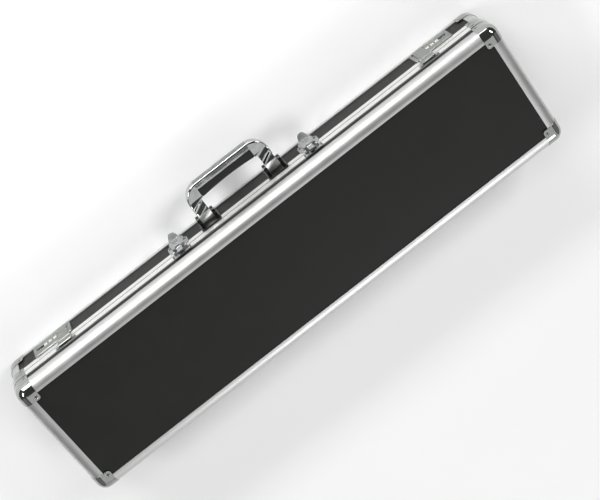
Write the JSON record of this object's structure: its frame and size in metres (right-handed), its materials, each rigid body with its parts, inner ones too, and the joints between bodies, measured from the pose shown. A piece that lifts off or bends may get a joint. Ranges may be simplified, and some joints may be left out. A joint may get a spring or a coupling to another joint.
{
  "type": "cue case",
  "caption": "Long hard case with an aluminium frame, black panels, chrome corners, draw latches, number locks and a swing handle; opens on a side hinge.",
  "frame": {"origin": "middle of the foot of the bounding box, the case lying on its rear panel", "axes": "+X along the length, -Y the handle side, +Y the hinge side, +Z from the rear panel to the lid"},
  "size_m": [0.8398, 0.2752, 0.1118],
  "materials": {
    "laminate": "matte black laminate on board",
    "anodised": "satin anodised extrusion",
    "chrome": "bright plated pressed steel",
    "steel": "plain",
    "velvet": "black velvet over foam",
    "grip": "black moulded grip",
    "bracket": "black moulded",
    "dial": "white moulded"
  },
  "bodies": {
    "base": {"base_panel": "laminate", "base_long_boards": "laminate", "base_end_boards": "laminate", "base_long_profiles": "anodised", "base_end_profiles": "anodised", "base_corner_posts": "anodised", "base_long_rails": "anodised", "base_end_rails": "anodised", "base_ball_corners": "chrome", "base_rim_straps": "chrome", "base_hinge_leaves": "chrome", "base_rivets": "steel", "base_hinge_screws": "steel", "floor_pad": "velvet", "cue_dividers": "velvet", "end_blocks": "velvet", "handle_brackets": "bracket", "handle_pins": "steel", "latch_plates": "chrome", "latch_rivets": "steel", "latch_lever_pins": "steel", "lock_plates": "chrome", "lock_axles": "steel", "lock_hasp_pins": "steel", "hinge_pins": "steel"},
    "lid": {"lid_panel": "laminate", "lid_long_boards": "laminate", "lid_end_boards": "laminate", "lid_long_profiles": "anodised", "lid_end_profiles": "anodised", "lid_corner_posts": "anodised", "lid_long_rails": "anodised", "lid_end_rails": "anodised", "lid_ball_corners": "chrome", "lid_rim_straps": "chrome", "lid_hinge_leaves": "chrome", "lid_rivets": "steel", "lid_hinge_screws": "steel", "lid_pad": "velvet", "latch_catches": "chrome", "lock_keepers": "chrome"},
    "handle": {"handle_frame": "chrome", "handle_grip": "grip"},
    "left_lever": {"left_latch_lever": "chrome", "left_latch_claw_pin": "steel"},
    "left_claw": {"left_latch_claw": "chrome"},
    "left_hasp": {"left_lock_hasp": "chrome"},
    "left_slider": {"left_lock_slider": "chrome"},
    "left_dial_1": {"left_lock_dial_1": "dial"},
    "left_dial_2": {"left_lock_dial_2": "dial"},
    "left_dial_3": {"left_lock_dial_3": "dial"},
    "right_lever": {"right_latch_lever": "chrome", "right_latch_claw_pin": "steel"},
    "right_claw": {"right_latch_claw": "chrome"},
    "right_hasp": {"right_lock_hasp": "chrome"},
    "right_slider": {"right_lock_slider": "chrome"},
    "right_dial_1": {"right_lock_dial_1": "dial"},
    "right_dial_2": {"right_lock_dial_2": "dial"},
    "right_dial_3": {"right_lock_dial_3": "dial"}
  },
  "joints": [
    {"name": "lid_hinge", "type": "hinge", "parent": "base", "child": "lid", "pos_m": [0, 0.13465, 0.0669], "axis": [-1, 0, 0], "range_deg": [0, 100]},
    {"name": "handle_swing", "type": "hinge", "parent": "base", "child": "handle", "pos_m": [0, -0.08615, 0.0454], "axis": [1, 0, 0], "range_deg": [-90, 90]},
    {"name": "left_lever_swing", "type": "hinge", "parent": "base", "child": "left_lever", "pos_m": [0.116, -0.08005, 0.0694], "axis": [-1, 0, 0], "range_deg": [0, 90]},
    {"name": "left_claw_swing", "type": "hinge", "parent": "left_lever", "child": "left_claw", "pos_m": [0.116, -0.08125, 0.0644], "axis": [1, 0, 0], "range_deg": [0, 126]},
    {"name": "left_hasp_swing", "type": "hinge", "parent": "base", "child": "left_hasp", "pos_m": [0.321, -0.07885, 0.0264], "axis": [1, 0, 0], "range_deg": [0, 70]},
    {"name": "left_slider_press", "type": "slide", "parent": "base", "child": "left_slider", "axis": [-1, 0, 0], "range_m": [0, 0.0045], "stiffness_N_per_m": 60},
    {"name": "left_dial_1_turn", "type": "hinge", "parent": "base", "child": "left_dial_1", "pos_m": [0.3502, -0.07545, 0.03865], "axis": [1, 0, 0], "continuous": true},
    {"name": "left_dial_2_turn", "type": "hinge", "parent": "base", "child": "left_dial_2", "pos_m": [0.342, -0.07545, 0.03865], "axis": [1, 0, 0], "continuous": true},
    {"name": "left_dial_3_turn", "type": "hinge", "parent": "base", "child": "left_dial_3", "pos_m": [0.3338, -0.07545, 0.03865], "axis": [1, 0, 0], "continuous": true},
    {"name": "right_lever_swing", "type": "hinge", "parent": "base", "child": "right_lever", "pos_m": [-0.116, -0.08005, 0.0694], "axis": [-1, 0, 0], "range_deg": [0, 90]},
    {"name": "right_claw_swing", "type": "hinge", "parent": "right_lever", "child": "right_claw", "pos_m": [-0.116, -0.08125, 0.0644], "axis": [1, 0, 0], "range_deg": [0, 126]},
    {"name": "right_hasp_swing", "type": "hinge", "parent": "base", "child": "right_hasp", "pos_m": [-0.321, -0.07885, 0.0264], "axis": [1, 0, 0], "range_deg": [0, 70]},
    {"name": "right_slider_press", "type": "slide", "parent": "base", "child": "right_slider", "axis": [1, 0, 0], "range_m": [0, 0.0045], "stiffness_N_per_m": 60},
    {"name": "right_dial_1_turn", "type": "hinge", "parent": "base", "child": "right_dial_1", "pos_m": [-0.3502, -0.07545, 0.03865], "axis": [1, 0, 0], "continuous": true},
    {"name": "right_dial_2_turn", "type": "hinge", "parent": "base", "child": "right_dial_2", "pos_m": [-0.342, -0.07545, 0.03865], "axis": [1, 0, 0], "continuous": true},
    {"name": "right_dial_3_turn", "type": "hinge", "parent": "base", "child": "right_dial_3", "pos_m": [-0.3338, -0.07545, 0.03865], "axis": [1, 0, 0], "continuous": true}
  ],
  "couplings": [
    {"joint": "left_claw_swing", "follows": "left_lever_swing", "ratio": 1.4},
    {"joint": "right_claw_swing", "follows": "right_lever_swing", "ratio": 1.4}
  ]
}
